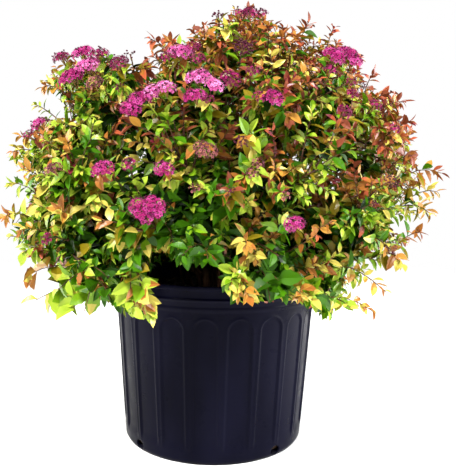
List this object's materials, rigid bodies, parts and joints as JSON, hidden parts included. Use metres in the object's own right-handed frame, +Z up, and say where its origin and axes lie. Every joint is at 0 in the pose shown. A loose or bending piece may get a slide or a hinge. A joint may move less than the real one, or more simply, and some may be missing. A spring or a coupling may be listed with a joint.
{
  "type": "potted japanese spirea",
  "caption": "Rounded flowering shrub with arching leafy shoots, growing in a squat black nursery pot.",
  "frame": {"origin": "centre of the pot's flat underside, on the surface that it stands on", "axes": "+Z up along the pot's axis; the side that faces a front view faces -Y, with +X to its right"},
  "size_m": [0.5586, 0.5342, 0.5695],
  "materials": {
    "pot_plastic": "semi-gloss black moulded plastic",
    "potting_mix": "crumbly dark brown potting mix",
    "stem_bark": "thin reddish-brown bark with fine length-wise ridges",
    "foliage": "lime, green and copper leaves",
    "blossom": "magenta flower heads"
  },
  "bodies": {
    "root": {"pot": "pot_plastic", "potting_mix": "potting_mix", "stem_1": "stem_bark", "stem_2": "stem_bark", "stem_3": "stem_bark", "stem_4": "stem_bark", "stem_5": "stem_bark", "stem_6": "stem_bark", "bough_1": "stem_bark", "bough_2": "stem_bark", "bough_3": "stem_bark", "bough_4": "stem_bark", "bough_5": "stem_bark", "bough_6": "stem_bark", "bough_7": "stem_bark", "foliage_skirt_1": "foliage", "foliage_skirt_2": "foliage", "foliage_skirt_3": "foliage", "foliage_skirt_4": "foliage", "foliage_skirt_5": "foliage", "foliage_skirt_6": "foliage", "foliage_skirt_7": "foliage", "foliage_shoulder_1": "foliage", "foliage_shoulder_2": "foliage", "foliage_shoulder_3": "foliage", "foliage_shoulder_4": "foliage", "foliage_shoulder_5": "foliage", "foliage_top": "foliage"}
  },
  "joints": []
}
